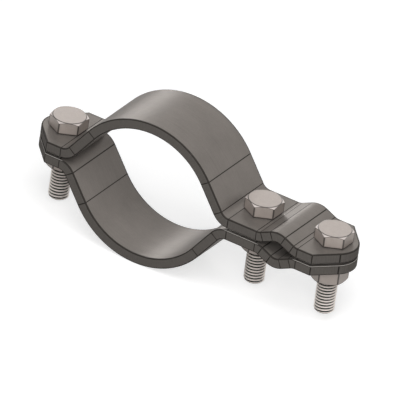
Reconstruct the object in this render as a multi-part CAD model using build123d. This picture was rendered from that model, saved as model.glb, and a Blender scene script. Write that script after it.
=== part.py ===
from build123d import *
import math
import os

# Flat steel strip that both halves are formed from
strip_width = 30.0
strip_thickness = 4.0
bend_inner_radius = 4.0
edge_break = 0.3

# Pipe saddle of each half, whose centre lies past the mid-plane so that the halves nip the pipe
pipe_radius = 29.0
saddle_offset = 3.0
flank_angle = 54.5

# Gap left between the halves at their ears
ear_gap = 1.0

# Flat length of the strip that each bolt head and nut seats on
seat_flat = 12.6

# Eye for a round conductor, and the ear end beyond it
eye_rise = 3.0
eye_angle = 25.0
end_flat = 0.4
nose_radius = 10.0

# Hexagon bolts, threaded over their whole length
bolt_diameter = 8.0
bolt_length = 30.0
thread_depth = 0.75
head_height = 5.3
washer_face_height = 0.5
washer_face_inset = 0.25
neck_fillet = 0.4

# Hexagon nuts
nut_height = 6.8
nut_mouth_flare = 0.4

# Hexagon and crown that the heads and the nuts share
across_flats = 13.0
crown_inset = 0.2
crown_angle = 30.0

# Radial clearance of a bolt in the strip and in its nut
hole_clearance = 0.5
thread_clearance = 0.05

# Levels and radii that follow from the sizes above
bend_radius = bend_inner_radius + strip_thickness / 2
saddle_radius = pipe_radius + strip_thickness / 2
ear_level = (ear_gap + strip_thickness) / 2
ear_outside = ear_level + strip_thickness / 2
flank = math.radians(flank_angle)
eye_slope = math.radians(eye_angle)


def bend_reach(turn):
    """Length that a bend through this angle takes from each straight beside it."""
    return bend_radius * math.tan(turn / 2)


# Corners of the strip's middle line before its bends are rounded
saddle_peak = saddle_radius / math.cos(flank) - saddle_offset
ear_corner = (saddle_peak - ear_level) / math.tan(flank)
eye_peak = ear_level + eye_rise + bend_radius * (1 / math.cos(eye_slope) - 1)
eye_half = (eye_peak - ear_level) / math.tan(eye_slope)

# Bolt axes, each in the middle of its flat
seat_half = seat_flat / 2
middle_x = ear_corner + bend_reach(flank) + seat_half
left_x = -middle_x
eye_x = middle_x + seat_half + bend_reach(eye_slope) + eye_half
right_x = eye_x + eye_half + bend_reach(eye_slope) + end_flat + seat_half
bolt_axes = {"left": left_x, "middle": middle_x, "right": right_x}
hexagon_half = across_flats / 2


def strip_profile():
    """Side view of the upper half: one strip of even thickness through all its bends."""
    middle_line = FilletPolyline(
        (left_x - nose_radius, ear_level),
        (-ear_corner, ear_level),
        (0, saddle_peak),
        (ear_corner, ear_level),
        (eye_x - eye_half, ear_level),
        (eye_x, eye_peak),
        (eye_x + eye_half, ear_level),
        (right_x + nose_radius, ear_level),
        radius=[bend_radius, saddle_radius] + 4 * [bend_radius],
    )
    return Plane.XZ * trace(middle_line, strip_thickness)


def ear_end(axis_x, side):
    """Plan of one end: tapers that leave the edges at the bolt axis, tangent to a round nose."""
    edge = side * strip_width / 2
    spread = side * nose_radius * 2 * nose_radius / strip_width
    reach = side * math.sqrt(nose_radius**2 - spread**2)
    first, last = (axis_x + reach, -spread), (axis_x + reach, spread)
    nose = ThreePointArc(first, (axis_x + side * nose_radius, 0), last)
    return Line((axis_x, -edge), first) + nose + Line(last, (axis_x, edge))


def strip_outline():
    """Plan of the strip before it is pierced."""
    near, far = -strip_width / 2, strip_width / 2
    edges = Line((left_x, near), (right_x, near)) + Line((right_x, far), (left_x, far))
    return make_face(edges + ear_end(right_x, 1) + ear_end(left_x, -1))


def rim(band):
    """Long edges of the strip, along its sides and round both ends."""
    walls = [face for face in band.faces() if abs(face.normal_at().Z) < 1e-6]
    return [edge for edge in ShapeList(walls).edges() if abs(edge.tangent_at(0.5).Z) < 0.99]


def half_band():
    """Upper half: the formed strip, trimmed to its plan, with its edges broken and its holes cut."""
    formed = extrude(strip_profile(), strip_width / 2, both=True)
    trimmed = formed & extrude(strip_outline(), saddle_peak)
    broken = chamfer(rim(trimmed), edge_break)
    hole = Circle(bolt_diameter / 2 + hole_clearance)
    return broken - [extrude(Pos(x, 0) * hole, saddle_peak) for x in bolt_axes.values()]


def crowned_hexagon(bottom, top, crown_below):
    """Hexagonal prism with flats facing along the strip and its corners turned to a crown."""
    flat_radius = hexagon_half - crown_inset
    corner_radius = across_flats / math.sqrt(3) + crown_inset
    drop = (corner_radius - flat_radius) * math.tan(math.radians(crown_angle))
    floor = [(flat_radius, bottom), (corner_radius, bottom + drop)]
    turned = Polyline(
        (0, bottom),
        *(floor if crown_below else [(corner_radius, bottom)]),
        (corner_radius, top - drop),
        (flat_radius, top),
        (0, top),
        close=True,
    )
    hexagon = RegularPolygon(hexagon_half, 6, major_radius=False, rotation=30)
    prism = Pos(0, 0, bottom) * extrude(hexagon, top - bottom)
    return prism & revolve(Plane.XZ * make_face(turned), Axis.Z)


def bolt():
    """Hexagon bolt, head up, with the face it seats on at height 0."""
    turned = Polyline(
        (0, washer_face_height),
        (hexagon_half - washer_face_inset, washer_face_height),
        (hexagon_half - washer_face_inset, 0),
        (bolt_diameter / 2, 0),
        (bolt_diameter / 2, thread_depth - bolt_length),
        (bolt_diameter / 2 - thread_depth, -bolt_length),
        (0, -bolt_length),
        close=True,
    )
    body = revolve(Plane.XZ * make_face(turned), Axis.Z)
    neck = body.edges().filter_by(GeomType.CIRCLE).filter_by(
        lambda edge: abs(edge.radius - bolt_diameter / 2) < 1e-6
    ).sort_by(Axis.Z)[-1]
    return fillet(neck, neck_fillet) + crowned_hexagon(washer_face_height, head_height, False)


def nut():
    """Hexagon nut, crowned at both ends, with the face it seats on at height 0."""
    bore_radius = bolt_diameter / 2 + thread_clearance
    bore = Polyline(
        (0, 0),
        (bore_radius + nut_mouth_flare, 0),
        (bore_radius, -nut_mouth_flare),
        (bore_radius, nut_mouth_flare - nut_height),
        (bore_radius + nut_mouth_flare, -nut_height),
        (0, -nut_height),
        close=True,
    )
    return crowned_hexagon(-nut_height, 0, True) - revolve(Plane.XZ * make_face(bore), Axis.Z)


def main():
    """Write each piece of the clamp in its place."""
    upper_band = half_band()
    pieces = {"upper_band": upper_band, "lower_band": mirror(upper_band, Plane.XY)}
    for place, x in bolt_axes.items():
        pieces[f"{place}_bolt"] = Pos(x, 0, ear_outside) * bolt()
        pieces[f"{place}_nut"] = Pos(x, 0, -ear_outside) * nut()
    os.makedirs("parts", exist_ok=True)
    for name, piece in pieces.items():
        export_step(piece, f"parts/{name}.step")


main()
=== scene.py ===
"""Bolted pipe clamp: two formed strip halves, three threaded bolts and their nuts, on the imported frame."""

import logging
import math
from dataclasses import dataclass, field
from enum import Enum
from functools import cached_property

import bmesh
import bpy
from mathutils import Matrix, Vector


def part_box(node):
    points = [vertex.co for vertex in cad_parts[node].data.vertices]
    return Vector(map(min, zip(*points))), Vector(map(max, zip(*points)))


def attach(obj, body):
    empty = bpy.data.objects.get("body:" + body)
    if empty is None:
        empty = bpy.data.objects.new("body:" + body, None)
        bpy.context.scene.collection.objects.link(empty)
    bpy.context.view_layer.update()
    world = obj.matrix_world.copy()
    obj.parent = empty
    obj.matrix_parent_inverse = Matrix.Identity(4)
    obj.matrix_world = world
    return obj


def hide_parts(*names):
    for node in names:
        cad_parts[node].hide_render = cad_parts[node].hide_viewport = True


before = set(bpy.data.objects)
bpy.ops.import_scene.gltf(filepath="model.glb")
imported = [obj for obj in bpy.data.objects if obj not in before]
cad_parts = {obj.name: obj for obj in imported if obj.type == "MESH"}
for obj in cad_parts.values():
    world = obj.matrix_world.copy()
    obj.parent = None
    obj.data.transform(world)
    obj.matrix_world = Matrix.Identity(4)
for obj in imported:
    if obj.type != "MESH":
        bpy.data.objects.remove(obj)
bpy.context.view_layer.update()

log = logging.getLogger("pipe_clamp")

MILLIMETRE = 0.001
SHARP_ANGLE = math.radians(12)
# How far a cutting shape reaches past what it cuts, in millimetres
REACH = 1.0
Colour = tuple[float, float, float]
Place3 = tuple[float, float, float]
Point = tuple[float, float]


class Half(Enum):
    """Which half of the clamp a piece belongs to, and the side of the mid-plane it lies on."""

    UPPER = 1
    LOWER = -1


class Place(Enum):
    """Where a bolt and its nut stand along the strip."""

    LEFT = "left"
    MIDDLE = "middle"
    RIGHT = "right"


class Cut(Enum):
    """How one solid changes another."""

    REMOVE = "DIFFERENCE"
    KEEP_COMMON = "INTERSECT"
    JOIN = "UNION"


class Signal:
    """A value or colour on its way through a material, which Python's operators work on."""

    def __init__(self, graph: "Graph", socket: bpy.types.NodeSocket) -> None:
        """Wrap a node's output.

        Args:
            graph: The graph that holds the node.
            socket: The output that carries the value.
        """
        self.graph = graph
        self.socket = socket

    def _math(self, operation: str, *values: "Signal | float") -> "Signal":
        """Return the result of one Math node on these values."""
        return self.graph.node("ShaderNodeMath", {"operation": operation}, dict(enumerate(values)))

    def __add__(self, other: "Signal | float") -> "Signal":
        """Return the sum."""
        return self._math("ADD", self, other)

    def __sub__(self, other: "Signal | float") -> "Signal":
        """Return the difference."""
        return self._math("SUBTRACT", self, other)

    def __rsub__(self, other: float) -> "Signal":
        """Return a number less this value."""
        return self._math("SUBTRACT", other, self)

    def __mul__(self, other: "Signal | float") -> "Signal":
        """Return the product."""
        return self._math("MULTIPLY", self, other)

    __radd__ = __add__
    __rmul__ = __mul__

    def __abs__(self) -> "Signal":
        """Return the size without its sign."""
        return self._math("ABSOLUTE", self)

    def larger(self, other: "Signal | float") -> "Signal":
        """Return the larger of the two values."""
        return self._math("MAXIMUM", self, other)

    def smaller(self, other: "Signal | float") -> "Signal":
        """Return the smaller of the two values."""
        return self._math("MINIMUM", self, other)

    def ramp(self, start: float, end: float) -> "Signal":
        """Return 0 before start and 1 past end, with a soft step between.

        Args:
            start: The value where the step begins.
            end: The value where it is complete, which may be under start.

        Returns:
            The stepped value.
        """
        limits = {1: start, 2: end, 3: 0.0, 4: 1.0}
        if start > end:
            limits = {1: end, 2: start, 3: 1.0, 4: 0.0}
        settings = {"interpolation_type": "SMOOTHSTEP"}
        return self.graph.node("ShaderNodeMapRange", settings, {0: self, **limits})

    def within(self, width: float, fade: float) -> "Signal":
        """Return 1 where the value is under width and 0 where it is over width and fade together."""
        return self.ramp(width + fade, width)

    def parts(self) -> tuple["Signal", "Signal", "Signal"]:
        """Return the three numbers of a vector."""
        node = self.graph.add("ShaderNodeSeparateXYZ", {}, {0: self})
        return tuple(Signal(self.graph, output) for output in node.outputs)


class Graph:
    """The node graph of one material or of the room, with one method that makes any node."""

    def __init__(self, owner: "bpy.types.Material | bpy.types.World") -> None:
        """Start with no nodes.

        Args:
            owner: The material or world that holds the graph.
        """
        owner.use_nodes = True
        self.owner = owner
        self.tree = owner.node_tree
        self.tree.nodes.clear()

    def add(self, kind: str, settings: dict[str, object], values: dict[object, object]) -> bpy.types.Node:
        """Make one node.

        Args:
            kind: The node's type.
            settings: What it is set to, before its sockets are filled.
            values: What goes into its sockets, by name or number: a Signal or a plain value.

        Returns:
            The node.
        """
        node = self.tree.nodes.new(kind)
        for key, value in settings.items():
            setattr(node, key, value)
        for key, value in values.items():
            if isinstance(value, Signal):
                self.tree.links.new(value.socket, node.inputs[key])
            else:
                node.inputs[key].default_value = value
        return node

    def node(
        self, kind: str, settings: dict[str, object], values: dict[object, object], out: object = 0
    ) -> Signal:
        """Make one node as add does, and return one of its outputs."""
        return Signal(self, self.add(kind, settings, values).outputs[out])

    def place(self, attribute: str) -> Signal:
        """Return the position that the piece's own attribute stores, in millimetres."""
        return self.node("ShaderNodeAttribute", {"attribute_name": attribute}, {}, "Vector")

    def seen(self) -> Signal:
        """Return 1 for what the camera sees, mirrored or through glass too, and 0 for light on its way.

        Returns:
            The mask.
        """
        path = self.add("ShaderNodeLightPath", {}, {})
        kinds = ("Camera", "Glossy", "Transmission")
        camera, glossy, clear = (Signal(self, path.outputs[f"Is {kind} Ray"]) for kind in kinds)
        return camera.larger(glossy).larger(clear)

    def stretched(self, vector: Signal, scale: tuple[float, float, float]) -> Signal:
        """Return a position whose three numbers are scaled apart."""
        return self.node("ShaderNodeVectorMath", {"operation": "MULTIPLY"}, {0: vector, 1: scale})

    def length(self, *parts: "Signal | float") -> Signal:
        """Return the length of a vector that is given by its numbers."""
        vector = self.node("ShaderNodeCombineXYZ", {}, dict(enumerate(parts)))
        return self.node("ShaderNodeVectorMath", {"operation": "LENGTH"}, {0: vector}, "Value")

    def noise(self, vector: Signal, scale: float, detail: float, roughness: float = 0.5) -> Signal:
        """Return soft random values about one half.

        Args:
            vector: The position that the pattern follows.
            scale: Features to a unit of it.
            detail: How many finer layers are added.
            roughness: How strong those layers are.

        Returns:
            The random value.
        """
        values = {"Vector": vector, "Scale": scale, "Detail": detail, "Roughness": roughness}
        return self.node("ShaderNodeTexNoise", {}, values)

    def blend(self, mask: Signal, first: "Signal | Colour", second: "Signal | Colour") -> Signal:
        """Return the first colour where the mask is 0 and the second where it is 1."""
        colours = [c if isinstance(c, Signal) else (*c, 1.0) for c in (first, second)]
        return self.node("ShaderNodeMix", {"data_type": "RGBA"}, {0: mask, 6: colours[0], 7: colours[1]}, 2)

    def shade(self, colour: "Signal | Colour", amount: Signal) -> Signal:
        """Make a colour lighter or darker.

        Args:
            colour: The colour.
            amount: What it is multiplied by, about 1.

        Returns:
            The shaded colour.
        """
        first = colour if isinstance(colour, Signal) else (*colour, 1.0)
        grey = self.node("ShaderNodeCombineXYZ", {}, {0: amount, 1: amount, 2: amount})
        settings = {"data_type": "RGBA", "blend_type": "MULTIPLY"}
        return self.node("ShaderNodeMix", settings, {0: 1.0, 6: first, 7: grey}, 2)

    def bump(self, height: Signal, depth: float) -> Signal:
        """Return the normal of a surface that the height lifts by up to depth millimetres."""
        values = {"Strength": 1.0, "Distance": depth * MILLIMETRE, "Height": height}
        return self.node("ShaderNodeBump", {}, values)

    def surface(self, sockets: dict[str, object]) -> bpy.types.Material:
        """Close the graph with one glossy surface.

        Args:
            sockets: What goes into the surface's sockets.

        Returns:
            The material.
        """
        shader = self.node("ShaderNodeBsdfPrincipled", {}, sockets)
        self.add("ShaderNodeOutputMaterial", {}, {"Surface": shader})
        return self.owner


@dataclass(frozen=True)
class StripFinish:
    """Warm grey satin strip steel: rolled faces, sheared edges with dark rims and partly painted shade,
    faint press marks, and a painted light line beside the ear gap.
    """

    face: Colour = (0.194, 0.176, 0.161)
    # Sheared edges have their own rougher finish; their darker colour is partly painted shade on the side
    # walls
    edge: Colour = (0.115, 0.105, 0.096)
    mark: Colour = (0.018, 0.016, 0.014)
    # Painted light: pale colour of the edge corners beside the ear gap, which lie in shade
    painted_gap_light: Colour = (0.40, 0.375, 0.35)
    metallic: float = 0.30
    specular: float = 0.0
    roughness: float = 0.31
    relief: float = 0.02
    line_width: float = 0.12
    line_fade: float = 0.14
    rim_width: float = 0.22
    gap_light_width: float = 0.12

    def material(self, strip: "Strip") -> bpy.types.Material:
        """Build the material.

        Args:
            strip: The strip whose edges and bends it marks.

        Returns:
            The material, which reads the blank attribute.
        """
        graph = Graph(bpy.data.materials.new("strip_steel"))
        blank = graph.place("blank")
        along, across, depth = blank.parts()
        under = strip.thickness / 2 - abs(depth)
        cut = under.ramp(0.02, strip.edge_break)
        grain = graph.noise(graph.stretched(blank, (0.05, 3.2, 1.0)), 1.0, 4.0, 0.62)
        scuff = graph.noise(graph.stretched(blank, (0.35, 9.0, 1.0)), 1.0, 2.0, 0.7).ramp(0.60, 0.74)
        mottle = graph.noise(blank, 0.13, 4.0, 0.65)
        speck = graph.noise(blank, 2.4, 3.0, 0.65)
        shear = graph.noise(graph.stretched(blank, (2.6, 2.6, 0.25)), 1.0, 3.0, 0.6)
        rolled = 0.53 + mottle * 0.32 + grain * 0.38 + speck * 0.26 - scuff * 0.09
        sheared = 0.76 + shear * 0.48
        # The sheared walls take the edge colour: their own finish, darkened partly with painted shade
        colour = graph.blend(cut, graph.shade(self.face, rolled), graph.shade(self.edge, sheared))
        burr = self.burr(under, strip)
        margin = self.margin(graph, along, across, strip)
        rim = burr.larger((1.0 - cut) * margin.within(strip.edge_break + self.rim_width, self.line_fade))
        marks = self.lines(along, strip.bend_lines).larger(self.lines(along, strip.end_corners) * cut)
        colour = graph.blend((marks * 0.9).larger(rim * 0.85), colour, self.mark)
        # Painted light: a pale line on the edge breaks beside the ear gap, where the faces lie in shade
        colour = graph.blend(self.lip(graph, burr, strip) * 0.9, colour, self.painted_gap_light)
        height = (grain * 0.8 + speck * 0.4 - scuff * 0.4) * (1.0 - cut) + shear * cut * 0.9 - marks * 0.8
        return graph.surface({
            "Base Color": colour,
            "Metallic": self.metallic,
            "Specular IOR Level": self.specular,
            "Roughness": self.roughness + mottle * 0.08 + grain * 0.09 + cut * 0.28,
            "Normal": graph.bump(height, self.relief),
        })

    def burr(self, under: Signal, strip: "Strip") -> Signal:
        """Return 1 on the narrow slope that breaks each sheared edge.

        Args:
            under: Depth under the rolled face.
            strip: The strip that gives the slope its depth.

        Returns:
            The slope's mask.
        """
        begun = under.ramp(0.003, 0.06)
        ended = under.ramp(strip.edge_break + 0.02, strip.edge_break + 0.18)
        return begun * (1.0 - ended)

    def lip(self, graph: Graph, burr: Signal, strip: "Strip") -> Signal:
        """Return 1 on the edge corners that face each other across the gap between the ears, where a painted
        light line lies on faces in shade.

        Args:
            graph: The material's graph.
            burr: The mask of the broken edges.
            strip: The strip that gives the gap.

        Returns:
            The corners' mask.
        """
        height = graph.node("ShaderNodeTexCoord", {}, {}, "Object").parts()[2]
        level = abs(height) * (1 / MILLIMETRE)
        return burr * level.within(strip.ear_gap / 2 + self.gap_light_width, self.gap_light_width)

    def lines(self, along: Signal, places: list[float]) -> Signal:
        """Return 1 on the thin lines that a tool leaves across the strip.

        Args:
            along: Distance along the blank.
            places: Distances along the blank where the lines lie.

        Returns:
            The lines' mask.
        """
        drawn = [abs(along - at).within(self.line_width, self.line_fade) for at in places]
        mask = drawn[0]
        for line in drawn[1:]:
            mask = mask.larger(line)
        return mask

    def margin(self, graph: Graph, along: Signal, across: Signal, strip: "Strip") -> Signal:
        """Return the distance in from the blank's outline.

        Args:
            graph: The material's graph.
            along: Distance along the blank.
            across: Distance from its middle line.
            strip: The strip that gives the outline.

        Returns:
            The distance, in millimetres.
        """
        side, nose = abs(across), strip.nose_radius
        steep = strip.taper_angle
        inside = strip.width / 2 - side
        for way, centre in ((-1, strip.bolt_places[0]), (1, strip.bolt_places[2])):
            past = (along - centre) * way
            taper = nose - (past * math.cos(steep) + side * math.sin(steep))
            beside = (side - past * math.tan(steep)).ramp(-0.05, 0.05) * strip.width
            inside = inside.smaller(taper).smaller(nose - graph.length(past.larger(0.0), side) + beside)
        return inside


@dataclass(frozen=True)
class FastenerFinish:
    """Pale zinc-plated steel of the bolts and nuts: crowns with a painted highlight, threads pale from worn
    crests and painted light, roots with painted shade, and dark corners.
    """

    face: Colour = (0.396, 0.345, 0.314)
    # Painted highlight: lighter colour of the crown's chamfer
    crown: Colour = (0.62, 0.56, 0.53)
    # Pale colour of the threads: partly bright worn crests, partly painted light for shanks that lie in the
    # bands' shadow
    crest: Colour = (0.86, 0.80, 0.75)
    # Painted shade: near-black colour of the thread's roots
    painted_root_shade: Colour = (0.018, 0.016, 0.014)
    line: Colour = (0.040, 0.036, 0.032)
    metallic: float = 0.20
    specular: float = 0.25
    roughness: float = 0.36
    relief: float = 0.02
    line_width: float = 0.12
    line_fade: float = 0.14

    def material(self, sizes: "Fasteners") -> bpy.types.Material:
        """Build the material.

        Args:
            sizes: The bolts and nuts that it dresses.

        Returns:
            The material, which reads the local, ends and facing attributes.
        """
        graph = Graph(bpy.data.materials.new("zinc_plate"))
        local = graph.place("local")
        facing = abs(graph.node("ShaderNodeAttribute", {"attribute_name": "facing"}, {}, "Fac"))
        right, back, level = local.parts()
        radius = graph.length(right, back)
        crest, disc = sizes.thread.crest, sizes.crown_radius
        shank = level.ramp(-0.1, -0.6) * radius.ramp(crest + 0.4, crest + 0.2)
        # Painted shade: mask of the thread's roots between the crests, which are darkened
        painted_root_shade = radius.ramp(crest - 0.28, crest - 0.56) * facing.ramp(0.98, 0.93) * shank
        crown = facing.ramp(0.78, 0.82) * facing.ramp(0.95, 0.92) * radius.ramp(disc - 0.3, disc - 0.1)
        mottle = graph.noise(local, 0.35, 4.0, 0.65)
        speck = graph.noise(local, 5.0, 3.0, 0.65)
        turning = graph.noise(graph.node("ShaderNodeCombineXYZ", {}, {0: radius}), 3.0, 2.0)
        tone = 0.66 + mottle * 0.24 + speck * 0.24 + turning * 0.20
        # Painted highlight: the crown's chamfer takes a lighter colour in place of the highlight on it
        colour = graph.blend(crown, self.face, self.crown)
        # The threaded shank takes the pale crest colour: partly worn crests, partly painted light where the
        # bands' shadow falls
        colour = graph.shade(graph.blend(shank, colour, self.crest), tone)
        colour = graph.blend(painted_root_shade, colour, self.painted_root_shade)
        lines = self.corner_lines(graph, radius, facing, sizes)
        colour = graph.blend(lines * 0.85, colour, self.line)
        return graph.surface({
            "Base Color": colour,
            "Metallic": self.metallic,
            "Specular IOR Level": self.specular,
            "Roughness": self.roughness + mottle * 0.08 + painted_root_shade * 0.2,
            "Normal": graph.bump(mottle * 0.6 + speck * 0.5 + turning * facing * 0.6, self.relief),
        })

    def corner_lines(self, graph: Graph, radius: Signal, facing: Signal, sizes: "Fasteners") -> Signal:
        """Return 1 along the corners of the hexagon, where the plating is thin and dirt stays.

        Args:
            graph: The material's graph.
            radius: Distance from the bolt's axis.
            facing: How squarely the face lies across the axis.
            sizes: The bolts and nuts that give the corners their places.

        Returns:
            The lines' mask.
        """
        under_top, over_floor, crowned = graph.place("ends").parts()
        disc, corner, crest = sizes.crown_radius, sizes.corner_radius, sizes.thread.crest
        spread = (radius - disc).larger(0.0) * sizes.crown_slope
        nearest = (under_top - spread).smaller(over_floor - spread * crowned)
        wall = facing.ramp(0.6, 0.4) * radius.ramp(crest + 0.4, crest + 0.6)
        upright = radius.ramp(corner - self.line_width - self.line_fade, corner - self.line_fade)
        ring = abs(radius - disc - self.line_width).within(self.line_width, self.line_width)
        walls = wall * upright.larger(nearest.within(self.line_width, self.line_fade))
        return walls.larger(facing.ramp(0.70, 0.80) * ring)


def revolved(profile: list[Point], steps: int = 96) -> bmesh.types.BMesh:
    """Turn a profile round the Z axis into a closed solid.

    Args:
        profile: Radius and height of each corner, from the axis and back to it.
        steps: Facets round the axis.

    Returns:
        The solid.
    """
    solid = bmesh.new()
    corners = [solid.verts.new((radius, 0.0, height)) for radius, height in profile]
    edges = [solid.edges.new(pair) for pair in zip(corners, corners[1:])]
    bmesh.ops.spin(solid, geom=corners + edges, axis=(0, 0, 1), angle=math.tau, steps=steps, use_merge=True)
    return closed(solid)


def closed(solid: bmesh.types.BMesh) -> bmesh.types.BMesh:
    """Merge what meets and turn the faces outwards.

    Args:
        solid: The solid to put right.

    Returns:
        The same solid.
    """
    bmesh.ops.remove_doubles(solid, verts=solid.verts, dist=1e-4)
    bmesh.ops.recalc_face_normals(solid, faces=solid.faces)
    return solid


def everything(solid: bmesh.types.BMesh) -> list[object]:
    """Return all points, edges and faces of a solid."""
    return solid.verts[:] + solid.edges[:] + solid.faces[:]


def thickened(solid: bmesh.types.BMesh, height: float) -> bmesh.types.BMesh:
    """Raise a flat face into a prism.

    Args:
        solid: The flat face.
        height: How far it is raised.

    Returns:
        The same solid, closed.
    """
    raised = bmesh.ops.extrude_face_region(solid, geom=list(solid.faces))["geom"]
    moved = [part for part in raised if isinstance(part, bmesh.types.BMVert)]
    bmesh.ops.translate(solid, vec=(0, 0, height), verts=moved)
    return closed(solid)


def stored(solid: bmesh.types.BMesh, name: str) -> bpy.types.Object:
    """Store a solid as an object of the scene, and free it.

    Args:
        solid: The solid.
        name: The object's name.

    Returns:
        The object.
    """
    mesh = bpy.data.meshes.new(name)
    solid.to_mesh(mesh)
    solid.free()
    item = bpy.data.objects.new(name, mesh)
    bpy.context.scene.collection.objects.link(item)
    return item


def combined(base: bmesh.types.BMesh, tool: bmesh.types.BMesh, cut: Cut) -> bmesh.types.BMesh:
    """Change one solid by another.

    Args:
        base: The solid that is changed.
        tool: The solid that changes it.
        cut: How.

    Returns:
        The new solid. Both others are freed.
    """
    items = stored(base, "base"), stored(tool, "tool")
    change = items[0].modifiers.new("change", "BOOLEAN")
    change.operation = cut.value
    change.solver = "EXACT"
    change.object = items[1]
    view = bpy.context.evaluated_depsgraph_get()
    result = bmesh.new()
    result.from_object(items[0], view)
    for item in items:
        bpy.data.meshes.remove(item.data)
    return closed(result)


def piece(solid: bmesh.types.BMesh, name: str, material: bpy.types.Material, body: str) -> None:
    """Turn a solid in millimetres into a finished piece that stands for the CAD node of its name.

    Args:
        solid: The solid, in its place, which is freed.
        name: The name of the CAD node that it stands for.
        material: What it is made of.
        body: The body it moves with.
    """
    bmesh.ops.scale(solid, vec=(MILLIMETRE,) * 3, verts=solid.verts)
    for face in solid.faces:
        face.smooth = True
    for edge in solid.edges:
        edge.smooth = edge.calc_face_angle(0.0) < SHARP_ANGLE
    count = len(solid.faces)
    item = stored(solid, f"{name}_shape")
    item.data.materials.append(material)
    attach(item, body)
    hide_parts(name)
    log.info("%s: %d faces on %s", item.name, count, body)


@dataclass(frozen=True)
class Run:
    """One stretch of the strip's middle line, straight where its turn is 0."""

    length: float
    turn: float = 0.0
    facets: int = 1


@dataclass
class Strip:
    """The flat bar that both halves are cut and formed from, in millimetres."""

    width: float = 30.0
    thickness: float = 4.0
    bend_inner_radius: float = 4.0
    edge_break: float = 0.3
    pipe_radius: float = 29.0
    saddle_offset: float = 3.0
    flank: float = math.radians(54.5)
    ear_gap: float = 1.0
    eye_rise: float = 3.0
    eye_slope: float = math.radians(25)
    end_flat: float = 0.4
    nose_radius: float = 10.0
    seat_half: float = 6.3
    hole_radius: float = 4.5
    hole_lip: float = 0.25
    finish: StripFinish = field(default_factory=StripFinish)

    @property
    def bend_radius(self) -> float:
        """Radius of the middle line in each small bend."""
        return self.bend_inner_radius + self.thickness / 2

    @property
    def ear_level(self) -> float:
        """Height of the middle line at the ears."""
        return (self.ear_gap + self.thickness) / 2

    @property
    def taper_angle(self) -> float:
        """How far round each nose its tapers touch it, from the strip's middle line."""
        return math.asin(2 * self.nose_radius / self.width)

    @cached_property
    def runs(self) -> list[Run]:
        """Stretches of the middle line from the left end to the right end.

        Returns:
            The stretches, in order.
        """
        bend, saddle = self.bend_radius, self.pipe_radius + self.thickness / 2
        peak = saddle / math.cos(self.flank) - self.saddle_offset - self.ear_level
        flank = (peak / math.sin(self.flank) - bend * math.tan(self.flank / 2)
                 - saddle * math.tan(self.flank))
        rise = self.eye_rise + bend * (1 / math.cos(self.eye_slope) - 1)
        slope = (rise / math.sin(self.eye_slope) - bend * math.tan(self.eye_slope / 2)
                 - bend * math.tan(self.eye_slope))
        up = Run(bend * self.flank, self.flank, 16)
        saddle_run = Run(2 * saddle * self.flank, -2 * self.flank, 45)
        lift = Run(bend * self.eye_slope, self.eye_slope, 8)
        crest = Run(2 * bend * self.eye_slope, -2 * self.eye_slope, 16)
        left_ear = Run(self.nose_radius + self.seat_half)
        middle_ear = Run(2 * self.seat_half)
        right_ear = Run(self.end_flat + self.seat_half + self.nose_radius)
        return [left_ear, up, Run(flank), saddle_run, Run(flank), up, middle_ear,
                lift, Run(slope), crest, Run(slope), lift, right_ear]

    @cached_property
    def starts(self) -> list[float]:
        """Distance along the blank where each run starts, and the blank's whole length.

        Returns:
            The distances, in order.
        """
        found = [0.0]
        for run in self.runs:
            found.append(found[-1] + run.length)
        return found

    @property
    def bend_lines(self) -> list[float]:
        """Distances along the blank where a bend meets a straight."""
        return self.starts[1:-1]

    @cached_property
    def bolt_places(self) -> list[float]:
        """Distances along the blank of the three bolt holes."""
        middle_ear_start = self.starts[6]
        return [self.nose_radius, middle_ear_start + self.seat_half, self.starts[-1] - self.nose_radius]

    @property
    def end_corners(self) -> list[float]:
        """Distances along the blank where each tapered end starts and where its round nose starts.

        Returns:
            The distances, in order.
        """
        reach = self.nose_radius * math.cos(self.taper_angle)
        left, _, right = self.bolt_places
        return [left - reach, left, right, right + reach]

    @cached_property
    def left_end(self) -> float:
        """Place of the left end along the clamp."""
        low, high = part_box("left_bolt")
        return (low.x + high.x) / 2 / MILLIMETRE - self.nose_radius

    def outline(self) -> bmesh.types.BMesh:
        """Draw the blank's plan: straight edges, tapers from the end bolts and round noses.

        Returns:
            The plan, as one flat face.
        """
        plan = bmesh.new()
        half, nose, tangent = self.width / 2, self.nose_radius, self.taper_angle
        for side, centre in ((1, self.bolt_places[2]), (-1, self.bolt_places[0])):
            corner = plan.verts.new((centre, -side * half, 0))
            touch = (centre + side * nose * math.cos(tangent), -side * nose * math.sin(tangent), 0)
            begin = plan.verts.new(touch)
            arc = bmesh.ops.spin(plan, geom=[begin], cent=(centre, 0, 0), axis=(0, 0, 1),
                                 angle=2 * tangent, steps=20)
            last = next(v for v in arc["geom_last"] if isinstance(v, bmesh.types.BMVert))
            plan.edges.new((corner, begin))
            plan.edges.new((last, plan.verts.new((centre, side * half, 0))))
        loose = [v for v in plan.verts if len(v.link_edges) == 1]
        for level in (-half, half):
            plan.edges.new([v for v in loose if abs(v.co.y - level) < 1e-6])
        bmesh.ops.edgeloop_fill(plan, edges=plan.edges)
        return plan

    def pierced(self) -> bmesh.types.BMesh:
        """Give the plan its thickness and punch its three holes.

        Returns:
            The bar, with its middle at height 0.
        """
        bar = thickened(self.outline(), self.thickness)
        bmesh.ops.translate(bar, vec=(0, 0, -self.thickness / 2), verts=bar.verts)
        top, radius, lip = self.thickness / 2, self.hole_radius, self.hole_lip
        wide, end = radius + lip + REACH, top + REACH
        for place in self.bolt_places:
            punch = revolved([(0, -end), (wide, -end), (radius, lip - top),
                              (radius, top - lip), (wide, end), (0, end)], 64)
            bmesh.ops.translate(punch, vec=(place, 0, 0), verts=punch.verts)
            bar = combined(bar, punch, Cut.REMOVE)
        return bar

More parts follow.
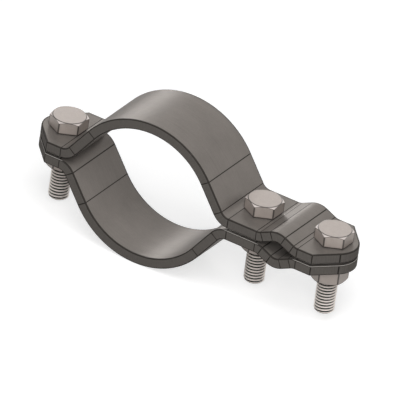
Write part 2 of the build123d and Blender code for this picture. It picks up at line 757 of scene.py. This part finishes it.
    def blank(self) -> bmesh.types.BMesh:
        """Crease the bar into facets where it will bend, and round its long edges.

        Returns:
            The bar, ready to be formed.
        """
        bar = self.pierced()
        for start, run in zip(self.starts, self.runs):
            for step in range(run.facets + 1):
                at = (start + run.length * step / run.facets, 0, 0)
                bmesh.ops.bisect_plane(bar, geom=everything(bar), plane_co=at, plane_no=(1, 0, 0), dist=1e-5)
        rim = [e for e in bar.edges if self.is_rim(e)]
        bmesh.ops.bevel(bar, geom=rim, offset=self.edge_break, offset_type="OFFSET", segments=3,
                        profile=0.5, affect="EDGES", material=-1, clamp_overlap=True)
        return bar

    def is_rim(self, edge: bmesh.types.BMEdge) -> bool:
        """Tell whether an edge lies between a rolled face and the outer wall of the bar.

        Args:
            edge: The edge.

        Returns:
            Whether it does.
        """
        if len(edge.link_faces) != 2:
            return False
        wall, face = sorted(abs(f.normal.z) for f in edge.link_faces)
        middle = (edge.verts[0].co + edge.verts[1].co) / 2
        near = min(math.hypot(middle.x - place, middle.y) for place in self.bolt_places)
        return wall < 0.1 and face > 0.9 and near > self.hole_radius + 1

    def formed(self, place: Vector) -> Vector:
        """Bend one point of the blank to its place on the upper half.

        Args:
            place: Distance along and across the blank, and height over its middle.

        Returns:
            The point in the clamp's frame, in millimetres.
        """
        spot, heading = Vector((self.left_end, self.ear_level)), 0.0
        for start, run in zip(self.starts, self.runs):
            gone = min(max(place.x - start, 0.0), run.length)
            if run.turn:
                radius = run.length / run.turn
                turned = heading + gone / radius
                across, up = math.sin(turned) - math.sin(heading), math.cos(heading) - math.cos(turned)
                spot += radius * Vector((across, up))
                heading = turned
            else:
                spot += gone * Vector((math.cos(heading), math.sin(heading)))
        spot += place.z * Vector((-math.sin(heading), math.cos(heading)))
        return Vector((spot.x, place.y, spot.y))

    def half(self, half: Half, material: bpy.types.Material) -> None:
        """Form one half of the clamp.

        Args:
            half: Which half.
            material: What it is made of.
        """
        bar = self.blank()
        flat = bar.verts.layers.float_vector.new("blank")
        for corner in bar.verts:
            corner[flat] = corner.co
            corner.co = self.formed(corner.co)
        bmesh.ops.scale(bar, vec=(1, 1, half.value), verts=bar.verts)
        bmesh.ops.recalc_face_normals(bar, faces=bar.faces)
        name = f"{half.name.lower()}_band"
        piece(bar, name, material, name)

    def build(self) -> None:
        """Build both halves."""
        material = self.finish.material(self)
        for half in Half:
            self.half(half, material)


@dataclass(frozen=True)
class Thread:
    """Right-hand metric thread of the bolts and nuts, in millimetres."""

    crest: float = 4.0
    pitch: float = 1.25
    depth: float = 0.765
    crest_flat: float = 0.156
    flank_angle: float = math.radians(30)
    steps: int = 48

    def solid(self, low: float, high: float, growth: float = 0.0) -> bmesh.types.BMesh:
        """Wind the thread's profile into a closed screw between two heights.

        Args:
            low: Height of its lower end.
            high: Height of its upper end.
            growth: How much further out it lies than the bolt's own thread.

        Returns:
            The screw.
        """
        screw = bmesh.new()
        turns = math.ceil((high - low) / self.pitch) + 2
        base = math.floor(low / self.pitch) * self.pitch - self.pitch
        flank = self.depth * math.tan(self.flank_angle)
        root_half = (self.pitch - self.crest_flat - 2 * flank) / 2
        outer, inner = self.crest + growth, self.crest - self.depth + growth
        rise = root_half + flank
        profile = [(inner, 0.0), (inner, root_half), (outer, rise), (outer, rise + self.crest_flat),
                   (inner, self.pitch - root_half), (inner, self.pitch)]
        corners = [screw.verts.new((radius, 0, base + height)) for radius, height in profile]
        edges = [screw.edges.new(pair) for pair in zip(corners, corners[1:])]
        bmesh.ops.spin(screw, geom=corners + edges, axis=(0, 0, 1), dvec=(0, 0, self.pitch / self.steps),
                       angle=math.tau * turns, steps=turns * self.steps)
        bmesh.ops.remove_doubles(screw, verts=screw.verts, dist=1e-4)
        for height, way in ((low, -1), (high, 1)):
            bmesh.ops.bisect_plane(screw, geom=everything(screw), plane_co=(0, 0, height),
                                   plane_no=(0, 0, way), dist=1e-6, clear_outer=True)
            open_edges = [e for e in screw.edges if e.is_boundary]
            rim = [e for e in open_edges if all(abs(v.co.z - height) < 1e-4 for v in e.verts)]
            bmesh.ops.edgeloop_fill(screw, edges=rim)
        return closed(screw)


@dataclass
class Fasteners:
    """The three hexagon bolts and their nuts, in millimetres."""

    across_flats: float = 13.0
    bolt_length: float = 30.0
    head_height: float = 5.3
    washer_face: float = 0.5
    washer_radius: float = 6.25
    washer_edge: float = 0.06
    crown_inset: float = 0.2
    crown_slope: float = math.tan(math.radians(30))
    nut_height: float = 6.8
    nut_mouth: float = 0.65
    core_radius: float = 3.0
    neck_radius: float = 3.6
    neck_fillet: float = 0.5
    neck_length: float = 1.5
    neck_bevel: float = 0.25
    thread_start: float = 1.2
    thread_sink: float = 0.08
    runout_start: float = 1.9
    runout_length: float = 1.6
    corner_break: float = 0.12
    clearance: float = 0.05
    tip_chamfer: float = 0.75
    spare: float = 0.2
    thread: Thread = field(default_factory=Thread)
    finish: FastenerFinish = field(default_factory=FastenerFinish)

    @property
    def corner_radius(self) -> float:
        """Distance of the hexagon's corners from the axis."""
        return self.across_flats / math.sqrt(3)

    @property
    def crown_radius(self) -> float:
        """Radius of the flat disc inside the crown."""
        return self.across_flats / 2 - self.crown_inset

    def hexagon(self, low: float, high: float, crown_below: bool) -> bmesh.types.BMesh:
        """Build a hexagon whose corners are turned down to a crown.

        Args:
            low: Height of its lower face.
            high: Height of its upper face.
            crown_below: Whether its lower face is crowned too.

        Returns:
            The solid.
        """
        prism = bmesh.new()
        bmesh.ops.create_circle(prism, cap_ends=True, segments=6, radius=self.corner_radius,
                                matrix=Matrix.Translation((0, 0, low)))
        prism = thickened(prism, high - low)
        upright = [e for e in prism.edges if abs(e.verts[0].co.z - e.verts[1].co.z) > 1]
        bmesh.ops.bevel(prism, geom=upright, offset=self.corner_break, offset_type="OFFSET", segments=2,
                        profile=0.5, affect="EDGES", material=-1)
        flat, wide = self.crown_radius, self.corner_radius + self.crown_inset
        drop = (wide - flat) * self.crown_slope
        below = [(flat, low), (wide, low + drop)] if crown_below else [(wide, low - REACH)]
        floor = low if crown_below else low - REACH
        crown = revolved([(0, floor), *below, (wide, high - drop), (flat, high), (0, high)], 120)
        return combined(prism, crown, Cut.KEEP_COMMON)

    def washer(self) -> bmesh.types.BMesh:
        """Turn the washer face under the head, with the filleted neck below it.

        Returns:
            The solid, which reaches up into the head and down into the thread.
        """
        neck, fillet, core = self.neck_radius, self.neck_fillet, self.core_radius
        top, wide, edge = self.washer_face, self.washer_radius, self.washer_edge
        foot = -self.neck_length - self.neck_bevel
        return revolved([
            (0, 2 * top), (core, 2 * top), (core, top), (wide, top), (wide, edge), (wide - edge, 0),
            (neck + fillet, 0), (neck + 0.4 * fillet, -0.16 * fillet), (neck + 0.12 * fillet, -0.5 * fillet),
            (neck, -fillet), (neck, -self.neck_length), (neck - self.spare, foot), (0, foot)])

    def shank(self) -> bmesh.types.BMesh:
        """Cut the thread, run it out towards the neck and chamfer its tip.

        Returns:
            The solid, from just under the head to the tip.
        """
        inner = self.neck_radius - self.thread_sink
        shank = self.thread.solid(-self.bolt_length, -self.thread_start)
        for corner in shank.verts:
            radius = math.hypot(corner.co.x, corner.co.y)
            if radius > 1e-3:
                share = min(max((-self.runout_start - corner.co.z) / self.runout_length, 0.0), 1.0)
                scale = (inner + (radius - inner) * share) / radius
                corner.co.x *= scale
                corner.co.y *= scale
        tip, wide = self.thread.crest - self.tip_chamfer, self.thread.crest + self.spare
        floor, top = -self.bolt_length, self.spare - self.thread_start
        mould = revolved([(0, floor), (tip, floor), (wide, floor + wide - tip), (wide, top), (0, top)])
        return combined(shank, mould, Cut.KEEP_COMMON)

    def bolt(self) -> bmesh.types.BMesh:
        """Build a bolt, head up, with the face it seats on at height 0."""
        whole = combined(self.hexagon(self.washer_face, self.head_height, False), self.washer(), Cut.JOIN)
        return combined(whole, self.shank(), Cut.JOIN)

    def nut(self, grip: float) -> bmesh.types.BMesh:
        """Build a nut, with the face it seats on at height 0, whose thread is in step with the bolt's.

        Args:
            grip: Distance between the faces that the bolt and the nut seat on.

        Returns:
            The solid.
        """
        block = self.hexagon(-self.nut_height, 0, True)
        plug = self.thread.solid(-grip - self.nut_height - REACH, REACH - grip, self.clearance)
        bmesh.ops.translate(plug, vec=(0, 0, grip), verts=plug.verts)
        wide, core = self.thread.crest + self.nut_mouth, self.core_radius
        top, end = self.spare, -self.nut_height - self.spare
        sinks = revolved([(0, end), (wide, end), (core, end + wide - core), (core, top - wide + core),
                          (wide, top), (0, top)])
        return combined(combined(block, sinks, Cut.REMOVE), plug, Cut.REMOVE)

    def measured(self, shape: bmesh.types.BMesh, low_end: float, high_end: float, crowned: bool) -> None:
        """Store on a shape what its finish reads.

        Args:
            shape: The bolt or nut, with the face it seats on at height 0.
            low_end: Height of the hexagon's lower face.
            high_end: Height of its upper face.
            crowned: Whether its lower face is crowned too.
        """
        local, ends = (shape.verts.layers.float_vector.new(name) for name in ("local", "ends"))
        for corner in shape.verts:
            corner[local] = corner.co
            corner[ends] = (high_end - corner.co.z, corner.co.z - low_end, float(crowned))
        facing = shape.faces.layers.float.new("facing")
        for face in shape.faces:
            face[facing] = face.normal.z

    def build(self) -> None:
        """Build each bolt and nut in its place."""
        material = self.finish.material(self)
        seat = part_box("left_bolt")[1].z / MILLIMETRE - self.head_height
        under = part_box("left_nut")[1].z / MILLIMETRE
        bolt, nut = self.bolt(), self.nut(seat - under)
        self.measured(bolt, self.washer_face, self.head_height, False)
        self.measured(nut, -self.nut_height, 0.0, True)
        for kind, shape, level in (("bolt", bolt, seat), ("nut", nut, under)):
            for place in Place:
                name = f"{place.value}_{kind}"
                low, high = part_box(name)
                solid = shape.copy()
                axis = (low.x + high.x) / 2 / MILLIMETRE
                bmesh.ops.translate(solid, vec=(axis, 0, level), verts=solid.verts)
                piece(solid, name, material, name)
            shape.free()


@dataclass(frozen=True)
class Softbox:
    """One large square lamp that looks at the clamp, in metres and watts."""

    name: str
    place: Place3
    size: float
    power: float


@dataclass
class Studio:
    """Pale floor, soft lamps and the camera, in metres."""

    aim: Place3 = (0.014027, 0.004181, -0.005055)
    azimuth: float = math.radians(28.113)
    elevation: float = math.radians(30.023)
    roll: float = math.radians(8.189)
    view_width: float = 0.14963
    camera_distance: float = 0.6
    floor_level: float = -0.030
    floor_size: float = 3.0
    floor_colour: Colour = (0.55, 0.55, 0.55)
    floor_glow: float = 0.64
    ambient: float = 0.12
    lamps: tuple[Softbox, ...] = (
        Softbox("key", (0.225, -0.333, 0.805), 0.45, 4.0),
        Softbox("camera_side", (0.39, -0.73, 0.48), 0.5, 3.9),
        Softbox("low_back_left", (-0.60, 0.73, 0.20), 0.28, 1.95),
        Softbox("back", (-0.15, 0.80, 0.35), 0.7, 1.5),
        Softbox("low_back_right", (0.56, 0.70, 0.20), 0.45, 0.3),
    )

    def floor(self) -> None:
        """Lay a plain pale floor: white from above, with the clamp's shadow, and clear from below."""
        graph = Graph(bpy.data.materials.new("pale_floor"))
        plain = graph.node("ShaderNodeBsdfDiffuse", {}, {"Color": (*self.floor_colour, 1.0)})
        strength = graph.seen() * self.floor_glow
        glow = graph.node("ShaderNodeEmission", {}, {"Color": (1, 1, 1, 1), "Strength": strength})
        both = graph.node("ShaderNodeAddShader", {}, {0: plain, 1: glow})
        under = graph.node("ShaderNodeNewGeometry", {}, {}, "Backfacing")
        clear = graph.node("ShaderNodeBsdfTransparent", {}, {})
        sheet = graph.node("ShaderNodeMixShader", {}, {0: under, 1: both, 2: clear})
        graph.add("ShaderNodeOutputMaterial", {}, {"Surface": sheet})
        plane = bmesh.new()
        bmesh.ops.create_grid(plane, x_segments=1, y_segments=1, size=self.floor_size,
                              matrix=Matrix.Translation((0, 0, self.floor_level)))
        ground = stored(plane, "floor")
        ground.data.materials.append(graph.owner)

    def room(self) -> None:
        """Fill the room with even light, which shows white to the camera and in the metal."""
        graph = Graph(bpy.data.worlds.new("room"))
        strength = self.ambient + graph.seen() * (1.0 - self.ambient)
        light = graph.node("ShaderNodeBackground", {}, {"Color": (1, 1, 1, 1), "Strength": strength})
        graph.add("ShaderNodeOutputWorld", {}, {"Surface": light})
        bpy.context.scene.world = graph.owner

    def lights(self) -> None:
        """Hang each softbox and turn it to the clamp."""
        for box in self.lamps:
            lamp = bpy.data.lights.new(box.name, "AREA")
            lamp.size, lamp.energy = box.size, box.power
            item = bpy.data.objects.new(box.name, lamp)
            item.location = box.place
            item.rotation_euler = (Vector(self.aim) - Vector(box.place)).to_track_quat("-Z", "Y").to_euler()
            bpy.context.scene.collection.objects.link(item)

    def camera(self) -> None:
        """Set the camera at the photograph's viewing angle, without perspective."""
        data = bpy.data.cameras.new("camera")
        data.type, data.ortho_scale = "ORTHO", self.view_width
        data.clip_start, data.clip_end = 0.01, 10.0
        item = bpy.data.objects.new("camera", data)
        aside = Matrix.Rotation(self.azimuth, 4, "Z")
        down = Matrix.Rotation(math.pi / 2 - self.elevation, 4, "X")
        turn = aside @ down @ Matrix.Rotation(self.roll, 4, "Z")
        away = Matrix.Translation((0, 0, self.camera_distance))
        item.matrix_world = Matrix.Translation(self.aim) @ turn @ away
        bpy.context.scene.collection.objects.link(item)
        bpy.context.scene.camera = item

    def build(self) -> None:
        """Set up the whole studio."""
        self.camera()
        self.floor()
        self.room()
        self.lights()
        bpy.context.scene.view_settings.view_transform = "Standard"


def main() -> None:
    """Build the studio and every piece, and log each piece's face count."""
    logging.basicConfig(level=logging.INFO, format="%(name)s: %(message)s")
    Studio().build()
    Strip().build()
    Fasteners().build()


if __name__ == "__main__":
    main()
